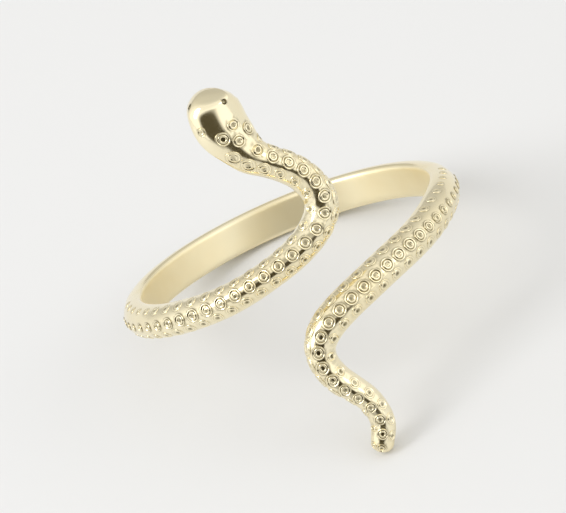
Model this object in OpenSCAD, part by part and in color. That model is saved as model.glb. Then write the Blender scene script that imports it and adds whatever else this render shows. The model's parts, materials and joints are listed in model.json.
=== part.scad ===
// Snake wrap ring, one casting: a snake laid once round a finger, open at the front.
// Its head stands up along the finger and its tail hangs down along it. The back of the band
// is plain, and the front half carries three rows of low cast cups, each a rim round a dimple.
// The ring lies on its side, on its tail tip and the lower edge of the back of the band.
// The origin is on the floor, under the middle of the ring.

/* [Finger] */
// Inner diameter of the band, which is the size of the finger
finger_d = 17.3; // [15:0.1:21]

/* [Band] */
// Width of the plain band, along the finger
band_w = 2.1; // [1.7:0.05:2.6]
// Thickness of the band, from the finger to its crown
band_t = 1.4; // [1.2:0.05:1.9]
// Width of the face that lies on the finger, as a share of the width above it
seat_share = 0.72; // [0.5:0.02:0.9]
// Height at which the bevelled inner edge meets the domed outside
heel_h = 0.3; // [0.2:0.02:0.4]
// Turn from the front, to each side, at which the cups end and the plain back begins
plain_turn = 97; // [85:1:110]

/* [Head] */
// Height of the top of the head above the middle of the band
head_rise = 12.1; // [11:0.1:15]
// Width of the head where it is broadest
head_w = 3.3; // [2.6:0.05:4]
// Thickness of the head, from the finger to its crown
head_t = 1.72; // [1.4:0.02:2.1]
// Length of the sloping snout, along the head
snout_l = 0.6; // [0.4:0.05:1]
// Width of the snout's front edge, as a share of the head's width there
snout_share = 0.7; // [0.4:0.05:0.9]
// Thickness left at the front edge of the snout
lip_t = 0.6; // [0.4:0.05:0.9]
// Turn of the head's middle from the front of the ring, to the left when negative
head_turn = -6; // [-10:0.5:0]
// Diameter of each eye, a small pit
eye_d = 0.3; // [0.2:0.02:0.44]
// Turn of the face's middle from the crown, round the head towards its left edge
face_turn = 32; // [0:1:40]

/* [Tail] */
// Depth of the tip of the tail below the middle of the band
tail_drop = 10.2; // [9:0.1:13]
// Width of the tail where it hangs down
tail_w = 1.62; // [1.4:0.02:2]
// Length over which the tip of the tail is rounded off
tip_l = 0.5; // [0.3:0.05:0.8]
// Thickness of the tail's very end, as a share of its thickness before it is rounded off
tip_share = 0.3; // [0.2:0.05:0.6]

/* [Cups] */
// Outer diameter of a cup
cup_d = 0.8; // [0.6:0.02:0.9]
// Height of a cup's rim above the ground between the cups
cup_rise = 0.07; // [0.04:0.01:0.12]
// Depth of the dimple in a cup's middle below its rim
dimple_depth = 0.12; // [0.06:0.01:0.15]
// Distance from cup to cup along the tail side
tail_pitch = 0.92; // [0.86:0.01:1.2]
// Distance from cup to cup along the head side
head_pitch = 1; // [0.86:0.01:1.2]

/* [Hidden] */

finger_r = finger_d / 2;
// Radius on which the route of the snake's crown is laid out flat
crown_r = finger_r + band_t;
// The arms run this far inside the plain band, as a turn in degrees
lap_turn = 8;
// The inside of the arms clears the finger by this much, so no flat facet cuts into it
seat_gap = 0.03;
// The ground between the cups lies this far inside the band's smooth outline
ground = cup_rise / 2;
// Height about which a leaning section turns, as a share of its thickness
pivot_share = 0.4;

// The tail's route, from the band to the tip. Columns: turn from the front in degrees, drop as a
// share of tail_drop, width and thickness as shares of band_w and band_t, lean in degrees.
TAIL_ARM = [
    [72, 0.005, 1.00, 1.00, -8],
    [52, 0.04, 0.98, 1.00, -20],
    [32, 0.08, 0.98, 1.00, -23],
    [18, 0.13, 0.98, 1.00, -20],
    [8, 0.18, 0.98, 1.00, -18],
    [0.5, 0.24, 0.98, 1.00, -15],
    [-4, 0.32, 0.93, 1.00, -8],
    [-5, 0.42, 0.88, 1.00, -8],
];
// The same, but the width is a share of tail_w
TAIL_END = [
    [-3, 0.525, 1.10, 0.97, -10],
    [1, 0.62, 1.00, 0.94, -16],
    [4.5, 0.72, 1.00, 0.90, -18],
    [5.5, 0.84, 1.00, 0.84, -14],
    [3, 0.93, 0.93, 0.76, -13],
    [1, 1.00, 0.84, 0.68, -13],
];
// The head's route, from the band to the neck. Columns as above, with the rise as a share of
// head_rise.
HEAD_ARM = [
    [291, 0.02, 0.95, 1.00, 4],
    [312, 0.04, 0.91, 1.00, 8],
    [333, 0.07, 0.87, 1.00, 13],
    [350, 0.12, 0.84, 1.00, 17],
    [363, 0.175, 0.88, 1.00, 16],
    [372.5, 0.25, 0.95, 1.00, 11],
    [376.5, 0.34, 1.00, 1.00, 3],
    [374.5, 0.455, 0.94, 1.00, -10],
    [370, 0.54, 0.93, 1.00, -20],
    [364.2, 0.61, 0.95, 1.02, -28],
];
// The head itself. Columns: turn from the head's middle, rise as before, width and thickness as
// shares of head_w and head_t, lean in degrees.
SKULL = [
    [6.2, 0.67, 0.78, 0.90, -30],
    [3.8, 0.75, 0.97, 0.95, -28],
    [1.9, 0.83, 1.10, 1.00, -26],
    [1.5, 0.91, 1.06, 1.00, -24],
    [2, 0.96, 0.94, 0.98, -20],
    [2.6, 1.00, 0.88, 0.96, -16],
];

// Points between two rows of a route
route_steps = 12;
// Rounds of easing that take the corners out of the laid out route
easing_rounds = 12;

tail_rows = concat(
    [for (turn = [plain_turn + lap_turn, plain_turn]) [turn, 0, band_w, band_t, 0]],
    [for (r = TAIL_ARM) [r[0], -r[1] * tail_drop, r[2] * band_w, r[3] * band_t, r[4]]],
    [for (r = TAIL_END) [r[0], -r[1] * tail_drop, r[2] * tail_w, r[3] * band_t, r[4]]]
);
head_rows = concat(
    [for (turn = [plain_turn + lap_turn, plain_turn]) [360 - turn, 0, band_w, band_t, 0]],
    [for (r = HEAD_ARM) [r[0], r[1] * head_rise, r[2] * band_w, r[3] * band_t, r[4]]],
    [for (r = SKULL) [360 + head_turn + r[0], r[1] * head_rise, r[2] * head_w, r[3] * head_t, r[4]]]
);

// A smooth curve through rows of numbers: the value at share t of the way from row i to the next
function row_at(rows, i) =
    i < 0 ? 2 * rows[0] - rows[1]
    : i >= len(rows) ? 2 * rows[len(rows) - 1] - rows[len(rows) - 2]
    : rows[i];
function curve(a, b, c, d, t) =
    let (square = 2 * a - 5 * b + 4 * c - d, cube = 3 * b - a - 3 * c + d)
    (2 * b + (c - a) * t + square * t * t + cube * t * t * t) / 2;
function curved(rows) = [
    for (i = [0:len(rows) - 2], j = [0:route_steps - 1])
        curve(row_at(rows, i - 1), rows[i], rows[i + 1], row_at(rows, i + 2), j / route_steps),
    rows[len(rows) - 1]
];
function eased(rows, rounds) =
    rounds < 1 ? rows
    : eased([
        for (i = [0:len(rows) - 1])
            i == 0 || i == len(rows) - 1 ? rows[i] : (rows[i - 1] + 2 * rows[i] + rows[i + 1]) / 4
    ], rounds - 1);
// A turn in degrees, laid out flat as a length
function laid_out(rows) = [for (r = rows) [r[0] * PI / 180 * crown_r, r[1], r[2], r[3], r[4]]];
function flat_gap(p, q) = norm([q[0] - p[0], q[1] - p[1]]);
function gap_after(rows, i) = i + 1 < len(rows) ? flat_gap(rows[i], rows[i + 1]) : 0;
function running_lengths(rows) = [
    for (i = 0, s = 0; i < len(rows); s = s + gap_after(rows, i), i = i + 1) s
];
// One look-up table of [length along the route, value] for each column
function tables(rows) =
    let (path = eased(laid_out(curved(rows)), easing_rounds), lengths = running_lengths(path))
    [for (k = [0:4]) [for (i = [0:len(path) - 1]) [lengths[i], path[i][k]]]];
function route_length(tabs) = tabs[0][len(tabs[0]) - 1][0];

tail_tabs = tables(tail_rows);
head_tabs = tables(head_rows);
tail_l = route_length(tail_tabs);
head_l = route_length(head_tabs);

// Half the length over which the heading of the route is taken
heading_reach = 0.15;
function heading(tabs, s) =
    atan2(
        lookup(s + heading_reach, tabs[1]) - lookup(s - heading_reach, tabs[1]),
        lookup(s + heading_reach, tabs[0]) - lookup(s - heading_reach, tabs[0])
    );
// What a round end leaves of the width at distance d from the end, when it starts at distance r
function rounding(d, r) = d >= r ? 1 : sqrt(max(0, 1 - pow(1 - d / r, 2)));

// The same where a share of the size is left at the very end
function left_of(round_off, share) = share + (1 - share) * round_off;

// The two arms, each from the band to its end, and what they have in common
TAIL = "tail";
HEAD = "head";
function tabs_of(arm) = arm == TAIL ? tail_tabs : head_tabs;
function length_of(arm) = arm == TAIL ? tail_l : head_l;
function end_of(arm) = arm == TAIL ? tip_l : snout_l;
function pitch_of(arm) = arm == TAIL ? tail_pitch : head_pitch;

// A station of an arm: place, height, width, thickness, lean, heading and the height of the roof
// that cuts the section off, which is the sloping snout on the head
function roof(arm, s) =
    arm == TAIL ? band_t
    : head_t - ground - max(0, s - (head_l - snout_l)) / snout_l * (head_t - ground - lip_t);
function station(arm, s) =
    let (tabs = tabs_of(arm), round_off = rounding(length_of(arm) - s, end_of(arm)))
    [
        lookup(s, tabs[0]),
        lookup(s, tabs[1]),
        (lookup(s, tabs[2]) - cup_rise) * (arm == TAIL ? round_off : left_of(round_off, snout_share)),
        (lookup(s, tabs[3]) - ground) * (arm == TAIL ? left_of(round_off, tip_share) : 1),
        lookup(s, tabs[4]),
        heading(tabs, s),
        roof(arm, s)
    ];

// A point of a station, b to the left of the way to the arm's end and z out from the finger,
// leaned and wrapped round the finger
function placed(st, b, z) =
    let (
        pivot = pivot_share * st[3],
        across = cos(st[4]) * b + sin(st[4]) * (z - pivot),
        out = min(max(cos(st[4]) * (z - pivot) - sin(st[4]) * b + pivot, seat_gap), st[6]),
        height = z == 0 ? seat_gap : out,
        turn = (st[0] - across * sin(st[5])) / crown_r * 180 / PI,
        r = finger_r + height
    )
    [r * sin(turn), -r * cos(turn), st[1] + across * cos(st[5])];

// Outline of a section: an oval dome on two bevelled edges and the flat face on the finger. The
// dome's points are named by an angle, 0 at the left edge, 90 at the crown and 180 at the right.
function heel(thick) = min(heel_h, thick / 2);
function dome_rate(st, a) = norm([st[2] / 2 * sin(a), (st[3] - heel(st[3])) * cos(a)]);
function dome_point(st, a, lift) =
    let (
        wide = st[2] / 2,
        high = st[3] - heel(st[3]),
        normal = [cos(a) / wide, sin(a) / high] / norm([cos(a) / wide, sin(a) / high])
    )
    placed(st, wide * cos(a) + lift * normal[0], heel(st[3]) + high * sin(a) + lift * normal[1]);
function seat_point(st, side) = placed(st, side * seat_share * st[2] / 2, 0);

// Columns round a section. The cups' rows have their middles on the columns CUP_COLUMNS.
row_turn = 48;
dome_angles = [0, for (k = [-3:3]) 90 + k * row_turn / 2, 180];
columns = len(dome_angles) + 3;
CUP_COLUMNS = [3, 5, 7];
CUP_STARTS = [1, 0, 1];

// Stations of an arm: one inside the band, two for each cup, then the smooth end
bare_face_l = 2.3;
bare_tip_l = 0.35;
function bare_of(arm) = arm == TAIL ? bare_tip_l : bare_face_l;
lap_l = lap_turn * PI / 180 * crown_r;
first_cup_s = lap_l + ground;
function cup_count(arm) = floor((length_of(arm) - bare_of(arm) - first_cup_s) / pitch_of(arm));
function cups_end(arm) = first_cup_s + cup_count(arm) * pitch_of(arm);
// Shares of the rounded end at which its last stations stand
END_SHARES = [1, 0.6, 0.3, 0.12, 0.02];
smooth_step = 0.45;
least_step = 0.05;
function smooth_stations(arm) =
    let (
        from = cups_end(arm),
        to = length_of(arm) - end_of(arm),
        n = max(0, floor((to - from) / smooth_step))
    )
    concat(
        [for (i = [1:1:n - 1]) from + (to - from) * i / n],
        [
            for (e = END_SHARES)
                let (s = length_of(arm) - e * end_of(arm))
                if (s > from + least_step) s
        ]
    );
function station_places(arm) = concat(
    [0],
    [for (i = [0:2 * cup_count(arm)]) first_cup_s + i * pitch_of(arm) / 2],
    smooth_stations(arm)
);

// A cup stands on the grid with its middle at station i and column c. Its rim and its dish are
// rings of their own, and the grid's middle point is its dimple.
function is_cup(arm, i, row) =
    i >= 2 && (i - CUP_STARTS[row]) % 2 == 0 && i <= 2 * cup_count(arm) - CUP_STARTS[row];
cup_fit = 0.46;
function cup_r(st, a) = min(cup_d / 2, cup_fit * dome_rate(st, a) * row_turn * PI / 180);
cup_sides = 8;
// Way from a cup's middle to the first corner of its cell, whose points run round from there
first_way = 225;
// The rim and the dish: radius and height, as shares of the cup's own
CUP_RIM = [0.80, 1.00];
CUP_DISH = [0.42, 0.75];
function cup_ring(arm, s, a, ring) =
    let (mid = station(arm, s), r = ring[0] * cup_r(mid, a), rate = dome_rate(mid, a) * PI / 180)
    [
        for (j = [0:cup_sides - 1])
            let (way = first_way - j * 360 / cup_sides)
            dome_point(station(arm, s + r * cos(way)), a + r * sin(way) / rate, ring[1] * cup_rise)
    ];
function cups_of(arm) = [
    for (i = [2:2 * cup_count(arm)], row = [0:2])
        if (is_cup(arm, i, row)) [i, row]
];
function grid_points(arm, places) = [
    for (i = [0:len(places) - 1])
        let (st = station(arm, places[i]))
        each concat(
            [seat_point(st, 1)],
            [
                for (k = [0:len(dome_angles) - 1])
                    let (row = search(k + 1, CUP_COLUMNS), dimple = len(row) > 0 && is_cup(arm, i, row[0]))
                    dome_point(st, dome_angles[k], dimple ? cup_rise - dimple_depth : 0)
            ],
            [seat_point(st, -1), placed(st, 0, 0)]
        )
];
function arm_points(arm, places) = concat(
    grid_points(arm, places),
    [
        for (cup = cups_of(arm))
            let (s = places[cup[0]], a = dome_angles[CUP_COLUMNS[cup[1]] - 1])
            each concat(
                cup_ring(arm, s, a, CUP_RIM),
                cup_ring(arm, s, a, CUP_DISH)
            )
    ]
);
function covered(arm, i, c) =
    len([
        for (row = [0:2], middle = [i, i + 1])
            if (is_cup(arm, middle, row) && abs(c + 0.5 - CUP_COLUMNS[row]) < 1) 1
    ]) > 0;
function grid_faces(arm, n) = [
    for (i = [0:n - 2], c = [0:columns - 1])
        let (d = (c + 1) % columns, p = i * columns, q = p + columns)
        if (!covered(arm, i, c)) each [[p + c, q + c, q + d], [p + c, q + d, p + d]]
];
function cup_faces(arm, n) =
    let (cups = cups_of(arm), base = n * columns)
    [
        for (k = [0:len(cups) - 1])
            let (
                p = cups[k][0] * columns + CUP_COLUMNS[cups[k][1]],
                outer = [
                    p - columns - 1, p - columns, p - columns + 1, p + 1,
                    p + columns + 1, p + columns, p + columns - 1, p - 1
                ],
                rim = base + k * 2 * cup_sides,
                dish = rim + cup_sides
            )
            for (j = [0:cup_sides - 1])
                let (m = (j + 1) % cup_sides)
                each [
                    [outer[j], rim + j, rim + m],
                    [outer[j], rim + m, outer[m]],
                    [rim + j, dish + j, dish + m],
                    [rim + j, dish + m, rim + m],
                    [dish + j, p, dish + m]
                ]
    ];
function end_faces(n) =
    let (hub = columns - 1, last = (n - 1) * columns)
    [
        for (c = [0:columns - 3])
            each [[hub, c, c + 1], [last + hub, last + c + 1, last + c]]
    ];

module arm(which) {
    places = station_places(which);
    n = len(places);
    polyhedron(
        arm_points(which, places),
        concat(grid_faces(which, n), cup_faces(which, n), end_faces(n))
    );
}

// The plain back of the band, a true turned wall whose inside is the finger's size. Its outline
// has an oval dome, as the arms have, and is given as radius and height.
dome_steps = 16;
back_outline = [
    for (k = [0:dome_steps])
        let (a = -90 + k * 180 / dome_steps)
        [finger_r + heel_h + (band_t - heel_h) * cos(a), band_w / 2 * sin(a)]
];
module plain_back() {
    rotate([0, 0, plain_turn - 90])
        rotate_extrude(angle = 360 - 2 * plain_turn, $fn = 180)
            polygon(concat(
                [[finger_r, -seat_share * band_w / 2]],
                back_outline,
                [[finger_r, seat_share * band_w / 2]]
            ));
}

// A point beside the snout, where an eye is cut, to one side or the other of the face's middle
eye_turn = 44;
function eye_place(side) =
    dome_point(station(HEAD, head_l - snout_l - eye_d / 2), 90 - face_turn + side * eye_turn, eye_d / 4);

// The ring lies a little turned about the finger, and tips back on the lower edge of its back
// until its tail's tip meets the floor
rest_turn = 2.5;
steepest_lean = 60;
function turned(p) =
    let (c = cos(rest_turn), s = sin(rest_turn))
    [p[0] * c - p[1] * s, p[0] * s + p[1] * c, p[2]];
function tipped(p, lean) =
    let (c = cos(lean), s = sin(lean))
    [p[0], p[1] * c + p[2] * s, p[2] * c - p[1] * s];
function lowest(points, lean) = min([for (p = points) tipped(p, lean)[2]]);
back_points = [for (p = back_outline) [0, p[0], p[1]]];
tail_points = [for (p = arm_points(TAIL, station_places(TAIL))) turned(p)];
head_points = [for (p = arm_points(HEAD, station_places(HEAD))) turned(p)];
// Halves the range between two leans until the tail and the back are level
lean_rounds = 24;
function level_lean(low, high, rounds) =
    let (mid = (low + high) / 2)
    rounds < 1 ? mid
    : lowest(tail_points, mid) < lowest(back_points, mid) ? level_lean(mid, high, rounds - 1)
    : level_lean(low, mid, rounds - 1);
rest_lean = level_lean(0, steepest_lean, lean_rounds);
turned_back = [
    for (turn = [plain_turn:360 - plain_turn], p = back_outline)
        turned([p[0] * sin(turn), -p[0] * cos(turn), p[1]])
];
resting = [for (p = concat(tail_points, head_points, turned_back)) tipped(p, rest_lean)];
function spread(k) = [for (p = resting) p[k]];
function middle(values) = (min(values) + max(values)) / 2;
rest_shift = [-middle(spread(0)), -middle(spread(1)), -min(spread(2))];

module snake_ring() {
    color("khaki")
        translate(rest_shift)
            rotate([-rest_lean, 0, 0]) rotate([0, 0, rest_turn])
                difference() {
                    union() {
                        plain_back();
                        arm(TAIL);
                        arm(HEAD);
                    }
                    for (side = [-1, 1])
                        translate(eye_place(side)) sphere(d = eye_d, $fn = 24);
                }
}

snake_ring();
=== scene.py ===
"""Snake wrap ring in polished pale gold, lying on a plain pale floor under soft studio light."""
import json
import math

import bmesh
import bpy
import numpy as np
from mathutils import Matrix, Vector
from mathutils.kdtree import KDTree


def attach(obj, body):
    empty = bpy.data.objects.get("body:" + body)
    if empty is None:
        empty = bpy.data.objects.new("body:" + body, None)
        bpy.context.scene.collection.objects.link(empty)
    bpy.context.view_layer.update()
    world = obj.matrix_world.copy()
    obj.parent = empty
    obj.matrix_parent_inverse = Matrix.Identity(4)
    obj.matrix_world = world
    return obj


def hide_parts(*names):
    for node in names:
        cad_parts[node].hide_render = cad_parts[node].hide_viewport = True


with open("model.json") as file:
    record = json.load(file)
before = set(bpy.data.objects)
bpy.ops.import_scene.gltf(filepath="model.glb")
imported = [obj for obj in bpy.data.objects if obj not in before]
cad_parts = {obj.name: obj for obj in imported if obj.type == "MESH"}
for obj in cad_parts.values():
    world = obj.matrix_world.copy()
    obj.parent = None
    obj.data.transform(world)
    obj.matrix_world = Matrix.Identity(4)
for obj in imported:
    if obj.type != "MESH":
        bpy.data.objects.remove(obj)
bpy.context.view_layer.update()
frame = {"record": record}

MM = 0.001

# Sizes of the ring in millimetres and turns in degrees. The band, with the share of its half width
# that lies flat on the finger, the height of its rounded edges and the turn of its plain back.
FINGER_D = 17.3
BAND_W = 2.1
BAND_T = 1.4
SEAT_SHARE = 0.72
HEEL_H = 0.3
PLAIN_TURN = 97
# The head, with the turn of its middle from the front, and its sloping snout and front edge
HEAD_RISE = 12.1
HEAD_W = 3.3
HEAD_T = 1.72
HEAD_TURN = -6
SNOUT_L = 0.6
LIP_T = 0.6
EYE_D = 0.3
# The tail and the cups
TAIL_DROP = 10.2
TAIL_W = 1.62
CUP_D = 0.8
CUP_RISE = 0.07

FINGER_R = FINGER_D / 2
# Radius on which the route of the snake's crown is laid out flat
CROWN_R = FINGER_R + BAND_T
# The ground between the cups lies this far inside the band's smooth outline
GROUND = CUP_RISE / 2
# Height about which a leaning section turns, as a share of its thickness
PIVOT_SHARE = 0.4

# The tail's route, from the band to the tip. Columns: turn from the front in degrees, drop as a
# share of TAIL_DROP, width and thickness as shares of BAND_W and BAND_T, lean in degrees.
TAIL_ARM = [
    (72, 0.005, 1.00, 1.00, 8),
    (52, 0.04, 0.98, 1.00, 20),
    (32, 0.08, 0.98, 1.00, 23),
    (18, 0.13, 0.98, 1.00, 20),
    (8, 0.18, 0.98, 1.00, 18),
    (0.5, 0.24, 0.98, 1.00, 15),
    (-4, 0.32, 0.93, 1.00, 8),
    (-5, 0.42, 0.88, 1.00, 8),
]
# The same, but the width is a share of TAIL_W
TAIL_END = [
    (-3, 0.525, 1.10, 0.97, 10),
    (1, 0.62, 1.00, 0.94, 16),
    (4.5, 0.72, 1.00, 0.90, 18),
    (5.5, 0.84, 1.00, 0.84, 14),
    (3, 0.93, 0.93, 0.76, 13),
    (1, 1.00, 0.84, 0.68, 13),
]
# The head's route, from the band to the neck. Columns as above, with the rise as a share of
# HEAD_RISE.
HEAD_ARM = [
    (291, 0.02, 0.95, 1.00, 4),
    (312, 0.04, 0.91, 1.00, 8),
    (333, 0.07, 0.87, 1.00, 13),
    (350, 0.12, 0.84, 1.00, 17),
    (363, 0.175, 0.88, 1.00, 16),
    (372.5, 0.25, 0.95, 1.00, 11),
    (376.5, 0.34, 1.00, 1.00, 3),
    (374.5, 0.455, 0.94, 1.00, -10),
    (370, 0.54, 0.93, 1.00, -20),
    (364.2, 0.61, 0.95, 1.02, -28),
]
# The head itself. Columns: turn from the head's middle, rise as before, width and thickness as
# shares of HEAD_W and HEAD_T, lean in degrees.
SKULL = [
    (6.2, 0.67, 0.78, 0.90, -30),
    (3.8, 0.75, 0.97, 0.95, -28),
    (1.9, 0.83, 1.10, 1.00, -26),
    (1.5, 0.91, 1.06, 1.00, -24),
    (2, 0.96, 0.94, 0.98, -20),
    (2.6, 1.00, 0.88, 0.96, -16),
]
# Turns at which the level route of the plain back has points
BACK_STEP = 40
BACK_TURNS = (PLAIN_TURN, PLAIN_TURN + BACK_STEP, 360 - PLAIN_TURN - BACK_STEP, 360 - PLAIN_TURN)
# Points of the smooth route for each row of the tables, and how often its bends are eased
ROUTE_STEPS = 12
EASING_ROUNDS = 12


def curved(rows):
    """A smooth curve through the rows, ROUTE_STEPS points to a stretch."""
    q = np.vstack([2 * rows[0] - rows[1], rows, 2 * rows[-1] - rows[-2]])
    points = []
    for i in range(1, len(q) - 2):
        a, b, c, d = q[i - 1:i + 3]
        for t in np.arange(ROUTE_STEPS) / ROUTE_STEPS:
            cubic = (3 * b - a - 3 * c + d) * t ** 3
            points.append((2 * b + (c - a) * t + (2 * a - 5 * b + 4 * c - d) * t * t + cubic) / 2)
    points.append(rows[-1])
    return np.array(points)


def route():
    """The whole snake from tail tip to snout: rows of turn, height, width, thickness, lean."""
    tail = [(t, -r * TAIL_DROP, w * BAND_W, k * BAND_T, a) for t, r, w, k, a in TAIL_ARM]
    tail += [(t, -r * TAIL_DROP, w * TAIL_W, k * BAND_T, a) for t, r, w, k, a in TAIL_END]
    back = [(t, 0, BAND_W, BAND_T, 0) for t in BACK_TURNS]
    head = [(t, r * HEAD_RISE, w * BAND_W, k * BAND_T, a) for t, r, w, k, a in HEAD_ARM]
    head += [
        (360 + HEAD_TURN + t, r * HEAD_RISE, w * HEAD_W, k * HEAD_T, a) for t, r, w, k, a in SKULL
    ]
    path = curved(np.array(tail[::-1] + back + head, float))
    path[:, 0] *= math.pi / 180 * CROWN_R
    for _ in range(EASING_ROUNDS):
        path[1:-1] = (path[:-2] + 2 * path[1:-1] + path[2:]) / 4
    return path


PATH = route()
LENGTHS = np.r_[0, np.cumsum(np.hypot(np.diff(PATH[:, 0]), np.diff(PATH[:, 1])))]
SLOPES = np.gradient(PATH[:, :2], LENGTHS, axis=0)
HEADINGS = np.unwrap(np.arctan2(SLOPES[:, 1], SLOPES[:, 0]))
SNAKE_L = LENGTHS[-1]
# The tail's last stretch, over which its tip is rounded off, and the head's, which is blunter, with
# the share of the thickness that the tail keeps at its very end
TIP_L = 0.55
TIP_KEEPS = 0.25
NOSE_L = 1.1
NOSE_POWER = 2.3
# The snout's front edge is rounded off over this length and keeps this share of its height at the
# very front, and its brow is rounded off over this height
LIP_L = 0.25
LIP_KEEPS = 0.3
BROW_SOFTNESS = 0.12
# Length over which the plain back swells from the cups' ground to its full section
SWELL_L = 1.2


def s_at_turn(turn):
    """Length along the snake at which the band has come round to this turn."""
    return float(np.interp(turn * math.pi / 180 * CROWN_R, PATH[:, 0], LENGTHS))


PLAIN_FROM = s_at_turn(PLAIN_TURN)
PLAIN_TO = s_at_turn(360 - PLAIN_TURN)
# Least half width of a section, at the very ends
POINT_W = 0.004


def smooth(x):
    """Eases from 0 to 1."""
    x = np.clip(x, 0, 1)
    return x * x * (3 - 2 * x)


def rounding(distance, reach, power=2.0):
    """Share of the section left at a distance from a rounded end."""
    left = np.clip(1 - distance / reach, 0, 1)
    return (1 - left ** power) ** (1 / power)


def softly_under(value, limit, reach):
    """The value, held under the limit, with the corner between them rounded."""
    near = np.maximum(reach - np.abs(value - limit), 0)
    return np.minimum(value, limit) - near * near / (4 * reach)


def station(s):
    """Place, height, half width, height of the section, lean, heading and roof at lengths s.

    The roof is the height at which the section is cut off, which is the flat sloping snout.
    """
    s = np.asarray(s, float)
    x, h, w, t, lean = (np.interp(s, LENGTHS, PATH[:, k]) for k in range(5))
    inset = 1 - smooth((s - PLAIN_FROM) / SWELL_L) * smooth((PLAIN_TO - s) / SWELL_L)
    w = w - 2 * GROUND * inset
    t = t - GROUND * inset
    tip = rounding(s, TIP_L)
    nose = rounding(SNAKE_L - s, NOSE_L, NOSE_POWER)
    lip = LIP_T * (LIP_KEEPS + (1 - LIP_KEEPS) * rounding(SNAKE_L - s, LIP_L))
    roof = lip + (HEAD_T - LIP_T) * (SNAKE_L - s) / SNOUT_L
    w = w * tip * nose
    t = t * (TIP_KEEPS + (1 - TIP_KEEPS) * tip)
    half = np.maximum(w / 2, POINT_W)
    return x, h, half, t, np.radians(lean), np.interp(s, LENGTHS, HEADINGS), roof


def placed(st, b, z):
    """Ring-frame points b to the left of the way to the head and z out from the finger."""
    x, h, _, t, lean, way, roof = st
    pivot = PIVOT_SHARE * t
    share = np.clip(z / pivot, 0, 1)
    across = np.cos(lean) * b + np.sin(lean) * (z - pivot)
    out = np.maximum(np.cos(lean) * (z - pivot) - np.sin(lean) * b + pivot, 0)
    out = share * out + (1 - share) * np.minimum(out, z)
    out = np.maximum(softly_under(out, roof, BROW_SOFTNESS), 0)
    turn = (x - across * np.sin(way)) / CROWN_R
    r = FINGER_R + out
    return np.stack([r * np.sin(turn), -r * np.cos(turn), h + across * np.cos(way)], -1)


def dome_point(st, angle, lift):
    """A point of the oval dome, 0 at the left edge, pi/2 at the crown, lifted along the normal."""
    wide, thick = st[2], st[3]
    heel = np.minimum(HEEL_H, thick / 2)
    high = thick - heel
    normal = np.stack(np.broadcast_arrays(np.cos(angle) / wide, np.sin(angle) / high))
    normal = normal / np.linalg.norm(normal, axis=0)
    b = wide * np.cos(angle) + lift * normal[0]
    z = heel + high * np.sin(angle) + lift * normal[1]
    return placed(st, b, z)


# The finger's frame at rest, from the record: the ring's middle and the way along the finger,
# about which the ring is turned by REST_TURN
REST_TURN = 2.5
CLAMP = frame["record"]["mounts"][0]
RING_AT = Vector(CLAMP["pos_m"])
FINGER_AXIS = Vector(CLAMP["axis"]).normalized()
ACROSS = Vector((1, 0, 0))
LEANED = Matrix((ACROSS, FINGER_AXIS.cross(ACROSS), FINGER_AXIS)).transposed()
RING_TURN = LEANED @ Matrix.Rotation(math.radians(REST_TURN), 3, "Z")


def resting(points):
    """Ring-frame points in millimetres, laid down where the ring rests, in metres."""
    return points.reshape(-1, 3) @ np.array(RING_TURN).T * MM + np.array(RING_AT)


# The body: a closed sweep. Each section runs over the dome, down a rounded edge, across the flat
# face on the finger and up the other edge. BODY_STEP is the distance between sections in
# millimetres, and the rest are numbers of steps.
DOME_STEPS = 44
EDGE_STEPS = 5
SEAT_STEPS = 8
BODY_STEP = 0.18
END_STEPS = 12


def body_stations():
    """Lengths of the body's sections, close together where the ends are rounded."""
    ends = 1 - np.cos(np.linspace(0, math.pi / 2, END_STEPS + 1))
    middle = np.linspace(TIP_L, SNAKE_L - NOSE_L, int((SNAKE_L - TIP_L - NOSE_L) / BODY_STEP))
    return np.r_[ends * TIP_L, middle[1:-1], SNAKE_L - ends[::-1] * NOSE_L]


def body_section(st):
    """The points of one section, from the dome's left edge round to the seat's."""
    wide, heel = st[2], min(HEEL_H, st[3] / 2)
    seat = SEAT_SHARE * wide
    points = [dome_point(st, a, 0.0) for a in np.linspace(0, math.pi, DOME_STEPS + 1)]
    for k in range(1, EDGE_STEPS + 1):
        a = math.pi / 2 * (1 - k / EDGE_STEPS)
        points.append(placed(st, -seat - (wide - seat) * math.sin(a), heel * (1 - math.cos(a))))
    for k in range(1, SEAT_STEPS):
        points.append(placed(st, -seat + 2 * seat * k / SEAT_STEPS, 0.0))
    for k in range(EDGE_STEPS):
        a = math.pi / 2 * k / EDGE_STEPS
        points.append(placed(st, seat + (wide - seat) * math.sin(a), heel * (1 - math.cos(a))))
    return np.array(points)


def sweep_mesh(name, sections):
    """Rings of points joined into a closed tube with an end point at each end."""
    n, m = len(sections), len(sections[0])
    points = np.vstack(sections + [sections[0].mean(0), sections[-1].mean(0)])
    faces = []
    for i in range(n - 1):
        for j in range(m):
            k = (j + 1) % m
            faces.append((i * m + j, i * m + k, (i + 1) * m + k, (i + 1) * m + j))
    for j in range(m):
        k = (j + 1) % m
        faces.append((n * m, j, k)[::-1])
        faces.append((n * m + 1, (n - 1) * m + k, (n - 1) * m + j)[::-1])
    return mesh_piece(name, points, faces)


def mesh_piece(name, points, faces):
    """A piece from ring-frame points, with its faces turned outwards."""
    mesh = bpy.data.meshes.new(name)
    mesh.from_pydata(resting(np.asarray(points)).tolist(), [], faces)
    bm = bmesh.new()
    bm.from_mesh(mesh)
    bmesh.ops.recalc_face_normals(bm, faces=bm.faces)
    bm.to_mesh(mesh)
    bm.free()
    piece = bpy.data.objects.new(name, mesh)
    bpy.context.scene.collection.objects.link(piece)
    return piece


# The cups, in three rows: the turn of each row from the crown at the snake's ends and where the
# cups stop, and the room that a row has
ROW_TURNS = {-1: (-46, -46), 0: (0, 0), 1: (47, 57)}
ROW_ANGLE = math.radians(48)
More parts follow.
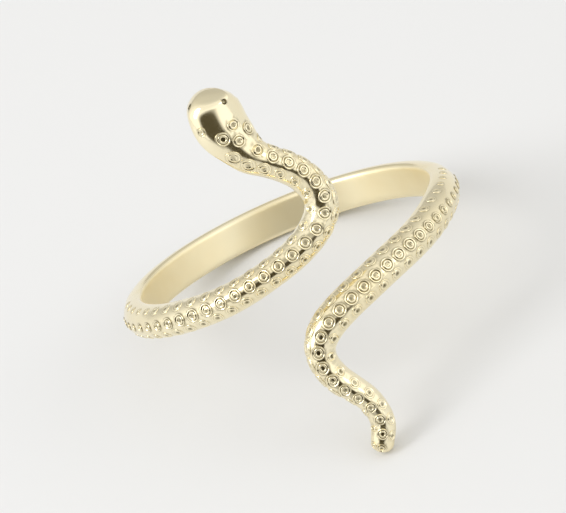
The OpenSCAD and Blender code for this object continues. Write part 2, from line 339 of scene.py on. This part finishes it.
# The height of each row's cups as a share of CUP_RISE; the face's cups stand as the middle row's
ROW_HEIGHTS = {-1: 0.6, 0: 1.0, 1: 0.6}
# Shares of a cup's radius, and heights above the ground as shares of CUP_RISE: a rim, a thin
# groove, a low shoulder and the dimple, with the height of its very middle
CUP_PROFILE = [
    (1.00, -2.0), (1.00, 0.0), (0.98, 0.50), (0.94, 0.95), (0.88, 1.05), (0.81, 0.90), (0.74, 0.45),
    (0.69, 0.15), (0.64, 0.45), (0.56, 0.85), (0.46, 0.90), (0.36, 0.60), (0.27, -0.20),
    (0.15, -1.20),
]
CUP_DIMPLE = -2.0
CUP_SIDES = 20
# A cup's radius is at most this share of the room to the next row, on the crown and beside it
CROWN_FIT = 0.54
CUP_FIT = 0.45


def dome_rate(st, angle):
    """Length along the dome for each radian of the angle."""
    heel = np.minimum(HEEL_H, st[3] / 2)
    return np.hypot(st[2] * np.sin(angle), (st[3] - heel) * np.cos(angle))


def cup_radius(st, angle, share):
    """A cup's radius, which is held to the room that it has."""
    on_crown = abs(angle - math.pi / 2) < ROW_ANGLE / 4
    fit = CROWN_FIT if on_crown else CUP_FIT
    return float(min(share * CUP_D / 2, fit * dome_rate(st, angle) * ROW_ANGLE))


def cup(s, angle, share, side):
    """One cup, mapped onto the dome: rings of its profile and its faces."""
    mid = station(s)
    rate = dome_rate(mid, angle)
    radius = cup_radius(mid, angle, share)
    way = np.arange(CUP_SIDES) * 2 * math.pi / CUP_SIDES
    rings = []
    for ring, rise in CUP_PROFILE:
        r = ring * radius
        lift = rise * CUP_RISE * (share * ROW_HEIGHTS[side] if rise > 0 else 1)
        rings.append(dome_point(station(s + r * np.cos(way)), angle + r * np.sin(way) / rate, lift))
    bottom = dome_point(mid, angle, CUP_PROFILE[0][1] * CUP_RISE)
    top = dome_point(mid, angle, CUP_DIMPLE * CUP_RISE)
    points = np.vstack(rings + [bottom, top])
    n, m = len(rings), CUP_SIDES
    faces = []
    for j in range(m):
        k = (j + 1) % m
        for i in range(n - 1):
            faces.append((i * m + j, i * m + k, (i + 1) * m + k, (i + 1) * m + j))
        faces.append((n * m, k, j))
        faces.append((n * m + 1, (n - 1) * m + j, (n - 1) * m + k))
    return points, faces


# Each row's places on the tail side and on the head side, measured along the row itself from the
# snake's end: the first cup, the distance to the second, and how much each later distance grows
TAIL_ROWS = {-1: (1.60, 0.98, 0.0015), 0: (0.81, 0.855, 0.0024), 1: (0.83, 1.015, 0)}
HEAD_ROWS = {-1: (4.25, 0.915, 0.0035), 0: (4.97, 0.92, 0.0028), 1: (5.35, 0.925, 0.0035)}
# The last cups, which spread out over the back of the head. Columns: distance back from the snout,
# angle round the head from its left edge in degrees, size as a share of CUP_D.
FACE_CUPS = [
    (3.10, 79, 0.92),
    (2.20, 93, 0.95),
    (2.45, 62, 1.00),
    (3.05, 115, 0.95),
    (1.65, 38, 0.60),
]
# Distance that the last cup of a row keeps from the plain back
PLAIN_MARGIN = 0.45
# Towards it the cups grow smaller and lower. Columns: distance from it, size as a share of CUP_D.
FADE = [(4.5, 0.6), (10.0, 1.0)]
# Steps in which a row's own length is measured
ROW_STEPS = 3000


def places_to(last, first, pitch, growth):
    """Distances of a row's cups from the snake's end, up to the last."""
    k = np.arange(int(last / pitch) + 1)
    run = first + pitch * k + growth * k * k
    return run[run < last]


def all_cups():
    """Of each cup the length along the snake, the angle round it, its share of CUP_D, its row."""
    spots = [(SNAKE_L - back, math.radians(angle), share, 0) for back, angle, share in FACE_CUPS]
    s = np.linspace(0, SNAKE_L, ROW_STEPS)
    bends = (0, PLAIN_FROM, PLAIN_TO, SNAKE_L)
    for side, (end_turn, arm_turn) in ROW_TURNS.items():
        turns = np.interp(s, bends, (end_turn, arm_turn, arm_turn, end_turn))
        angles = np.radians(90 - turns)
        line = dome_point(station(s), angles, 0.0)
        run = np.r_[0, np.cumsum(np.linalg.norm(np.diff(line, axis=0), axis=1))]
        tail_last = np.interp(PLAIN_FROM - PLAIN_MARGIN, s, run)
        head_last = run[-1] - np.interp(PLAIN_TO + PLAIN_MARGIN, s, run)
        tail = places_to(tail_last, *TAIL_ROWS[side])
        head = run[-1] - places_to(head_last, *HEAD_ROWS[side])
        for at in np.interp(np.r_[tail, head], run, s):
            share = np.interp(max(PLAIN_FROM - at, at - PLAIN_TO), *zip(*FADE))
            spots.append((at, np.interp(at, s, angles), share, side))
    return spots


# The eyes, two small pits: their distance from the snout's front edge, their turn from the middle
# of the face, how far that is turned from the crown, the depth of their middles as a share of
# their radius, and their numbers of faces round and from top to bottom
EYE_BACK = 0.6
EYE_TURN = math.radians(44)
FACE_TURN = math.radians(32)
EYE_SINK = 0.1
EYE_SIDES = 24
EYE_BANDS = 16


def eye_middles():
    """The middles of the eyes at rest, in metres."""
    st = station(SNAKE_L - EYE_BACK)
    turns = [math.pi / 2 - FACE_TURN + side * EYE_TURN for side in (-1, 1)]
    return [resting(dome_point(st, turn, -EYE_SINK * EYE_D / 2))[0] for turn in turns]


def cut_eyes(snake):
    """Cuts a small round pit on each side of the brow."""
    bm = bmesh.new()
    for middle in eye_middles():
        bmesh.ops.create_uvsphere(
            bm, u_segments=EYE_SIDES, v_segments=EYE_BANDS, radius=EYE_D / 2 * MM,
            matrix=Matrix.Translation(middle))
    mesh = bpy.data.meshes.new("eyes")
    bm.to_mesh(mesh)
    bm.free()
    eyes = bpy.data.objects.new("eyes", mesh)
    bpy.context.scene.collection.objects.link(eyes)
    combine(snake, eyes, "DIFFERENCE")


def combine(piece, other, operation):
    """Joins the other piece to this one, or cuts it out of it, and removes the other."""
    step = piece.modifiers.new(operation, "BOOLEAN")
    step.operation = operation
    step.solver = "MANIFOLD"
    step.object = other
    depsgraph = bpy.context.evaluated_depsgraph_get()
    mesh = bpy.data.meshes.new_from_object(piece.evaluated_get(depsgraph))
    piece.modifiers.clear()
    piece.data = mesh
    bpy.data.objects.remove(other)


# Edges sharper than this, such as those of the pits, keep their crease in the shading
CREASE = math.radians(50)


def build_snake():
    """The body with its cups joined on and its eyes cut, as one mesh."""
    body = sweep_mesh("snake", [body_section(station(s)) for s in body_stations()])
    points, faces, count = [], [], 0
    for s, angle, share, side in all_cups():
        p, f = cup(s, angle, share, side)
        points.append(p)
        faces += [tuple(v + count for v in face) for face in f]
        count += len(p)
    cups = mesh_piece("cups", np.vstack(points), faces)
    combine(body, cups, "UNION")
    cut_eyes(body)
    mesh = body.data
    mesh.shade_smooth()
    mesh.set_sharp_from_angle(angle=CREASE)
    return body


# Distance from a cup's middle, as a share of its radius, against the painted shade: dark brown
# painted into its dimple, its groove and round its foot, where shade and dark reflections fall
PAINTED_SHADE_PROFILE = [
    (0, 1.0), (0.22, 1.0), (0.34, 0.4), (0.42, 0.0), (0.58, 0.0), (0.65, 0.5), (0.69, 0.9),
    (0.73, 0.5), (0.80, 0.0), (0.93, 0.0), (0.99, 0.6), (1.05, 0.6), (1.18, 0.0),
]
# Shares of the painted shade in the dimples, up to DIMPLE_R from the middle, and outside them, for
# each row, as each row catches more or less shade and dark reflection
DIMPLE_R = 0.40
DIMPLES_KEEP = {-1: 1.0, 0: 0.85, 1: 0.7}
GROOVES_KEEP = {-1: 0.35, 0: 1.0, 1: 0.4}
# The height of a cup from which those distances count, as a share of CUP_RISE
CUP_MIDDLE = 0.5
# The painted shade in the eye pits, and how far from their middles it reaches as a share of EYE_D
EYE_PAINTED_SHADE = 0.7
EYE_REACH = 0.52
# Height above the finger up to which the inside of the band is duller than the outside and painted
# darker as shade
INSIDE_L = 0.15


def painted_shade(snake):
    """Marks each point by how much shade is painted on it and by how far it lies on the inside of
    the band.
    """
    middles, radii, rows = [], [], []
    for s, angle, share, side in all_cups():
        mid = station(s)
        middles.append(resting(dome_point(mid, angle, CUP_MIDDLE * CUP_RISE))[0] / MM)
        radii.append(cup_radius(mid, angle, share))
        rows.append(side)
    eyes = [np.array(middle) for middle in eye_middles()]
    axis, centre = np.array(FINGER_AXIS), np.array(RING_AT)
    tree = KDTree(len(middles))
    for k, middle in enumerate(middles):
        tree.insert(middle, k)
    tree.balance()
    mesh = snake.data
    depth, inside = np.zeros(len(mesh.vertices)), np.zeros(len(mesh.vertices))
    shares, amounts = zip(*PAINTED_SHADE_PROFILE)
    for vertex in mesh.vertices:
        _, k, far = tree.find(vertex.co / MM)
        kept = DIMPLES_KEEP[rows[k]] if far < DIMPLE_R * radii[k] else GROOVES_KEEP[rows[k]]
        depth[vertex.index] = kept * np.interp(far / radii[k], shares, amounts)
        at = np.array(vertex.co)
        if min(np.linalg.norm(at - eye) for eye in eyes) < EYE_REACH * EYE_D * MM:
            depth[vertex.index] = EYE_PAINTED_SHADE
        rise = np.linalg.norm(np.cross(at - centre, axis)) / MM - FINGER_R
        inside[vertex.index] = 1 - smooth(rise / INSIDE_L)
    mesh.attributes.new("painted_shade", "FLOAT", "POINT").data.foreach_set("value", depth)
    mesh.attributes.new("inside", "FLOAT", "POINT").data.foreach_set("value", inside)


# The gold's deeper and paler tints, the brown painted into its recesses as shade, and how much of
# the colour the inside of the band keeps, where it is painted darker as shade
DEEP_GOLD = (0.935, 0.82, 0.54, 1)
PALE_GOLD = (0.985, 0.90, 0.65, 1)
PAINTED_SHADE_BROWN = (0.11, 0.09, 0.035, 1)
INSIDE_SHADE_KEEPS = (0.93, 0.93, 0.93, 1)
# Where the clouds of the two tints turn from one to the other
TINT_SPAN = (0.3, 0.7)
# Roughness where the polish is best and where it is worst, and on the inside of the band
POLISH_SPAN = (0.08, 0.17)
INSIDE_ROUGHNESS = 0.45
# The faint waves of a cast and hand polished surface: height in millimetres and strength
WAVES_H = 0.02
WAVES_STRENGTH = 0.12
# Scale for each metre and detail of the three noises
TINT_NOISE = (260, 3)
POLISH_NOISE = (1400, 4)
WAVES_NOISE = (700, 2)


def noise(nodes, links, place, scale, detail):
    """The output of a noise texture laid in the object's own frame."""
    texture = nodes.new("ShaderNodeTexNoise")
    texture.inputs["Scale"].default_value = scale
    texture.inputs["Detail"].default_value = detail
    links.new(place.outputs["Object"], texture.inputs["Vector"])
    return texture.outputs["Fac"]


def marked(nodes, name):
    """The output of a value that each point of the mesh carries."""
    mark = nodes.new("ShaderNodeAttribute")
    mark.attribute_name = name
    return mark.outputs["Fac"]


def gold():
    """Polished pale gold, with shade painted brown into the recesses of the cups, and duller and
    painted darker as shade inside the band.
    """
    material = bpy.data.materials.new("gold")
    material.use_nodes = True
    nodes, links = material.node_tree.nodes, material.node_tree.links
    shader = nodes["Principled BSDF"]
    shader.inputs["Metallic"].default_value = 1.0
    place = nodes.new("ShaderNodeTexCoord")
    inner = marked(nodes, "inside")

    tint = nodes.new("ShaderNodeValToRGB")
    for stop, at, colour in zip(tint.color_ramp.elements, TINT_SPAN, (DEEP_GOLD, PALE_GOLD)):
        stop.position = at
        stop.color = colour
    links.new(noise(nodes, links, place, *TINT_NOISE), tint.inputs["Fac"])
    # Painted shade and dark reflection: brown mixed into the gold where the mesh marks a recess
    shaded = nodes.new("ShaderNodeMix")
    shaded.data_type = "RGBA"
    shaded.inputs["B"].default_value = PAINTED_SHADE_BROWN
    links.new(marked(nodes, "painted_shade"), shaded.inputs["Factor"])
    links.new(tint.outputs["Color"], shaded.inputs["A"])
    # Painted shade: the inside of the band is made darker
    inside_shaded = nodes.new("ShaderNodeMix")
    inside_shaded.data_type = "RGBA"
    inside_shaded.blend_type = "MULTIPLY"
    inside_shaded.inputs["B"].default_value = INSIDE_SHADE_KEEPS
    links.new(inner, inside_shaded.inputs["Factor"])
    links.new(shaded.outputs["Result"], inside_shaded.inputs["A"])
    links.new(inside_shaded.outputs["Result"], shader.inputs["Base Color"])

    rough = nodes.new("ShaderNodeMapRange")
    rough.inputs["To Min"].default_value, rough.inputs["To Max"].default_value = POLISH_SPAN
    links.new(noise(nodes, links, place, *POLISH_NOISE), rough.inputs["Value"])
    duller = nodes.new("ShaderNodeMix")
    duller.inputs["B"].default_value = INSIDE_ROUGHNESS
    links.new(inner, duller.inputs["Factor"])
    links.new(rough.outputs["Result"], duller.inputs["A"])
    links.new(duller.outputs["Result"], shader.inputs["Roughness"])

    bump = nodes.new("ShaderNodeBump")
    bump.inputs["Strength"].default_value = WAVES_STRENGTH
    bump.inputs["Distance"].default_value = WAVES_H * MM
    links.new(noise(nodes, links, place, *WAVES_NOISE), bump.inputs["Height"])
    links.new(bump.outputs["Normal"], shader.inputs["Normal"])
    return material


# The floor's half side in metres, its colour, its roughness and how strongly it shines
FLOOR_HALF = 1.5
FLOOR_COLOUR = (0.78, 0.785, 0.795, 1)
FLOOR_ROUGHNESS = 0.6
FLOOR_SHINE = 0.2


def floor():
    """A plain pale floor under the ring."""
    mesh = bpy.data.meshes.new("floor")
    half = FLOOR_HALF
    corners = [(-half, -half, 0), (half, -half, 0), (half, half, 0), (-half, half, 0)]
    mesh.from_pydata(corners, [], [range(len(corners))])
    piece = bpy.data.objects.new("floor", mesh)
    bpy.context.scene.collection.objects.link(piece)
    material = bpy.data.materials.new("floor")
    material.use_nodes = True
    shader = material.node_tree.nodes["Principled BSDF"]
    shader.inputs["Base Color"].default_value = FLOOR_COLOUR
    shader.inputs["Roughness"].default_value = FLOOR_ROUGHNESS
    shader.inputs["Specular IOR Level"].default_value = FLOOR_SHINE
    mesh.materials.append(material)


# The photograph's view: elevation above the plane of the band and roll, distance in millimetres,
# scale at the ring, and the pixel of the picture at which the middle of the ring shows
VIEW_ELEVATION = math.radians(13.5)
VIEW_ROLL = math.radians(23.5)
VIEW_DISTANCE = 300.0
PIXELS_PER_MM = 18.0
IMAGE_W, IMAGE_H = 566, 513
RING_PIXEL = (291.2, 251.2)
# The camera's film width in millimetres, and the distance in metres from which it sees
SENSOR_W = 36.0
SEES_FROM = 0.01


def camera():
    """The camera where the photograph's was, with the ring at the same place and size."""
    data = bpy.data.cameras.new("camera")
    data.sensor_width = SENSOR_W
    data.lens = PIXELS_PER_MM * VIEW_DISTANCE * SENSOR_W / IMAGE_W
    data.clip_start = SEES_FROM
    back = RING_TURN @ Vector((0, -math.cos(VIEW_ELEVATION), math.sin(VIEW_ELEVATION)))
    up = RING_TURN @ Vector((0, math.sin(VIEW_ELEVATION), math.cos(VIEW_ELEVATION)))
    side = RING_TURN @ ACROSS
    image_right = math.cos(VIEW_ROLL) * side - math.sin(VIEW_ROLL) * up
    image_up = math.sin(VIEW_ROLL) * side + math.cos(VIEW_ROLL) * up
    off = Vector((RING_PIXEL[0] - IMAGE_W / 2, IMAGE_H / 2 - RING_PIXEL[1])) / PIXELS_PER_MM * MM
    eye = RING_AT + back * VIEW_DISTANCE * MM - image_right * off.x - image_up * off.y
    piece = bpy.data.objects.new("camera", data)
    turned = Matrix((image_right, image_up, back)).transposed().to_4x4()
    piece.matrix_world = Matrix.Translation(eye) @ turned
    bpy.context.scene.collection.objects.link(piece)
    bpy.context.scene.camera = piece


# The lights: name, way to it from the ring, distance, width and height in metres, power in watts
LIGHTS = [
    ("key", (-0.73, -0.20, 0.62), 0.35, 0.12, 0.26, 0.38),
    ("fill", (0.9, -0.5, 0.7), 0.4, 0.2, 0.2, 0.10),
]


def soft_light(name, direction, distance, width, height, power):
    """A round soft light that faces the ring."""
    data = bpy.data.lights.new(name, "AREA")
    data.shape = "ELLIPSE"
    data.size = width
    data.size_y = height
    data.energy = power
    piece = bpy.data.objects.new(name, data)
    direction = Vector(direction).normalized()
    piece.location = RING_AT + direction * distance
    piece.rotation_euler = direction.to_track_quat("Z", "Y").to_euler()
    bpy.context.scene.collection.objects.link(piece)


# The dark patch of the room, low on the viewer's side: the turn of its middle from the front, its
# height, how far it reaches sideways, forwards and up, and how it tips down to the right
PATCH_TURN = math.radians(-10)
PATCH_HEIGHT = math.radians(12)
PATCH_REACH = (0.80, 1.3, 0.42)
PATCH_TIP = math.radians(15)
# The tones of the patch and of the room, and the shares of its reach between which they blend
PATCH_TONE = (0.07, 0.06, 0.035, 1)
ROOM_TONE = (1.0, 0.99, 0.96, 1)
PATCH_EDGE = (0.70, 0.92)
# The room's strength falls off towards the back, and again overhead. Each: the span of the way's
# Y or Z, and the strengths at its two ends.
DIM_BEHIND = ((0.2, 0.9), (1.2, 0.58))
DIM_ABOVE = ((0.45, 0.85), (1.0, 0.82))


def falling(nodes, links, value, span, strengths):
    """The output that takes the value's span to the two strengths."""
    dim = nodes.new("ShaderNodeMapRange")
    dim.inputs["From Min"].default_value, dim.inputs["From Max"].default_value = span
    dim.inputs["To Min"].default_value, dim.inputs["To Max"].default_value = strengths
    links.new(value, dim.inputs["Value"])
    return dim.outputs["Result"]


def studio():
    """A pale room, dark low on the viewer's side and dimmer behind and overhead, and its lights."""
    world = bpy.data.worlds.new("studio")
    bpy.context.scene.world = world
    world.use_nodes = True
    nodes, links = world.node_tree.nodes, world.node_tree.links
    sky = nodes["Background"]
    place = nodes.new("ShaderNodeTexCoord")

    patch = nodes.new("ShaderNodeMapping")
    patch.vector_type = "TEXTURE"
    flat = math.cos(PATCH_HEIGHT)
    patch.inputs["Location"].default_value = (
        flat * math.sin(PATCH_TURN), -flat * math.cos(PATCH_TURN), math.sin(PATCH_HEIGHT))
    patch.inputs["Rotation"].default_value = (0, PATCH_TIP, 0)
    patch.inputs["Scale"].default_value = PATCH_REACH
    far = nodes.new("ShaderNodeVectorMath")
    far.operation = "LENGTH"
    tone = nodes.new("ShaderNodeValToRGB")
    for stop, at, colour in zip(tone.color_ramp.elements, PATCH_EDGE, (PATCH_TONE, ROOM_TONE)):
        stop.position = at
        stop.color = colour
    links.new(place.outputs["Generated"], patch.inputs["Vector"])
    links.new(patch.outputs["Vector"], far.inputs[0])
    links.new(far.outputs["Value"], tone.inputs["Fac"])
    links.new(tone.outputs["Color"], sky.inputs["Color"])

    way = nodes.new("ShaderNodeSeparateXYZ")
    links.new(place.outputs["Generated"], way.inputs["Vector"])
    both = nodes.new("ShaderNodeMath")
    both.operation = "MULTIPLY"
    links.new(falling(nodes, links, way.outputs["Y"], *DIM_BEHIND), both.inputs[0])
    links.new(falling(nodes, links, way.outputs["Z"], *DIM_ABOVE), both.inputs[1])
    links.new(both.outputs["Value"], sky.inputs["Strength"])

    for light in LIGHTS:
        soft_light(*light)
    bpy.context.scene.view_settings.view_transform = "Standard"


camera()
snake = build_snake()
snake.data.materials.clear()
snake.data.materials.append(gold())
painted_shade(snake)
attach(snake, "root")
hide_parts("snake_ring")
floor()
studio()
